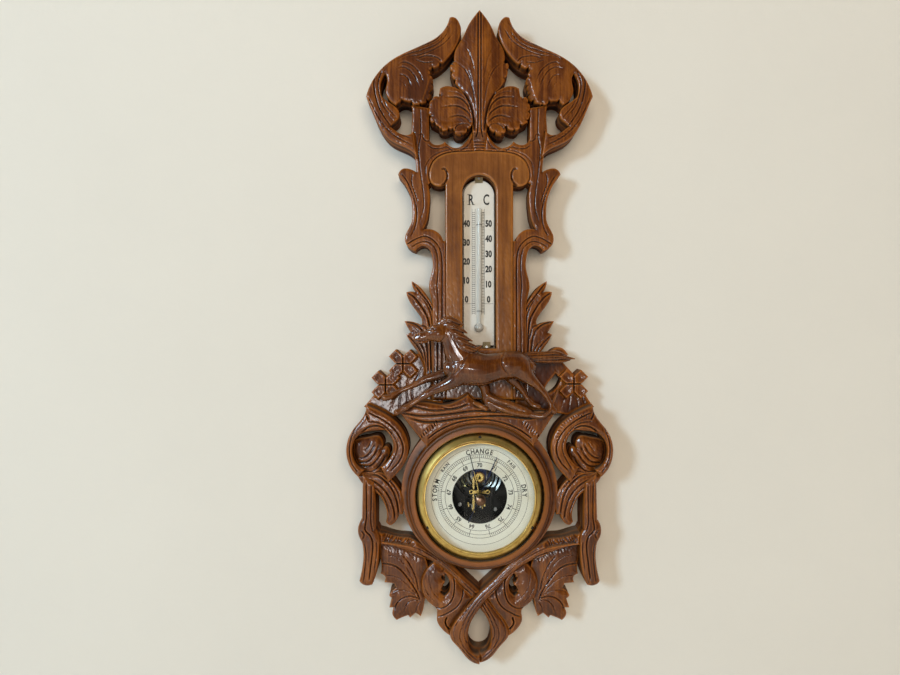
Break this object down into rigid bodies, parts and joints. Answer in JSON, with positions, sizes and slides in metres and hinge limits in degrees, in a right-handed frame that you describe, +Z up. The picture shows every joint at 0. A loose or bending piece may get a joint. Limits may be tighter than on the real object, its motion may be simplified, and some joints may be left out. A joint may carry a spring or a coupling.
{
  "type": "aneroid barometer",
  "caption": "Wall-hung aneroid barometer with a mercury thermometer in a carved and fretted wooden case, with a glazed round dial, indicator hand, set hand and capsule movement.",
  "frame": {"origin": "centre of the hole in the hanger plate, in the plane of the wall", "axes": "+Z up, -Y out of the wall towards the viewer, +X to the viewer's right"},
  "size_m": [0.2726, 0.055, 0.6705],
  "materials": {
    "carved_wood": "carved, stained and varnished",
    "board_wood": "sawn, varnished edges",
    "turned_wood": "turned and polished",
    "horse_wood": "carved and polished",
    "opal_glass": "white, gloss",
    "clear_glass": "polished",
    "mercury": "liquid",
    "iron_wire": "black",
    "brass": "lacquered",
    "bezel_brass": "polished, aged",
    "knob_brass": "worn, brown",
    "steel": "satin",
    "blued_steel": "blued",
    "blackened_iron": "blackened",
    "tinplate": "dull",
    "nickel_silver": "satin, corrugated",
    "dial_enamel": "white lacquer, printed"
  },
  "bodies": {
    "root": {"backboard": "board_wood", "base_plate": "blackened_iron", "bezel": "bezel_brass", "bezel_screws": "steel", "blossom_spray_left": "carved_wood", "blossom_spray_right": "carved_wood", "bridge_frame": "blackened_iron", "capsule": "nickel_silver", "clip_nails": "steel", "crest_leaf": "carved_wood", "crest_scroll_left": "carved_wood", "crest_scroll_right": "carved_wood", "crystal": "clear_glass", "curled_leaf_left": "carved_wood", "curled_leaf_right": "carved_wood", "dial": "dial_enamel", "dial_surround": "turned_wood", "drooping_leaf_left": "carved_wood", "drooping_leaf_right": "carved_wood", "frame_stile_left": "carved_wood", "frame_stile_right": "carved_wood", "ground": "carved_wood", "hairspring": "blued_steel", "hand_bridge": "brass", "hanger_plate": "steel", "hanger_screws": "steel", "horse": "horse_wood", "leaf_spray_left": "carved_wood", "leaf_spray_right": "carved_wood", "lower_branch_left": "carved_wood", "lower_branch_right": "carved_wood", "mercury": "mercury", "movement_case": "tinplate", "movement_screws": "steel", "post_left": "carved_wood", "post_right": "carved_wood", "retaining_ring": "bezel_brass", "rocker_cocks": "brass", "scale_clips": "brass", "spring_bridge": "blackened_iron", "thermometer_panel": "carved_wood", "thermometer_scale": "opal_glass", "thermometer_tube": "clear_glass", "tube_ties": "iron_wire", "vine_leaf_left": "carved_wood", "vine_leaf_right": "carved_wood", "volute_leaf_left": "carved_wood", "volute_leaf_right": "carved_wood", "volute_left": "carved_wood", "volute_right": "carved_wood"},
    "indicator": {"indicator_hand": "blued_steel", "hand_arbor": "steel"},
    "rocker": {"rocker": "steel", "chain": "steel"},
    "lever": {"main_lever": "brass", "capsule_post": "brass", "mainspring": "blued_steel"},
    "set_hand": {"set_hand": "brass", "set_knob": "knob_brass"},
    "adjuster": {"adjusting_screw": "steel"}
  },
  "joints": [
    {"name": "hand_turn", "type": "hinge", "parent": "root", "child": "indicator", "pos_m": [0, -0.03, -0.343], "axis": [0, 1, 0], "range_deg": [-188.5, 141.5], "deforming": ["hairspring"]},
    {"name": "rocker_turn", "type": "hinge", "parent": "root", "child": "rocker", "pos_m": [0, -0.0085, -0.357], "axis": [1, 0, 0], "range_deg": [-18.72, 14.06], "deforming": ["chain"]},
    {"name": "lever_swing", "type": "hinge", "parent": "root", "child": "lever", "pos_m": [0, -0.0226, -0.301], "axis": [1, 0, 0], "range_deg": [-1.15, 0.87], "deforming": ["capsule", "mainspring"]},
    {"name": "set_hand_turn", "type": "hinge", "parent": "root", "child": "set_hand", "pos_m": [0, -0.04, -0.343], "axis": [0, 1, 0], "continuous": true},
    {"name": "adjuster_turn", "type": "hinge", "parent": "root", "child": "adjuster", "pos_m": [0, -0.003, -0.3253], "axis": [0, 1, 0], "continuous": true}
  ],
  "couplings": [
    {"joint": "rocker_turn", "follows": "hand_turn", "ratio": 0.099213},
    {"joint": "lever_swing", "follows": "hand_turn", "ratio": 0.0059927}
  ]
}
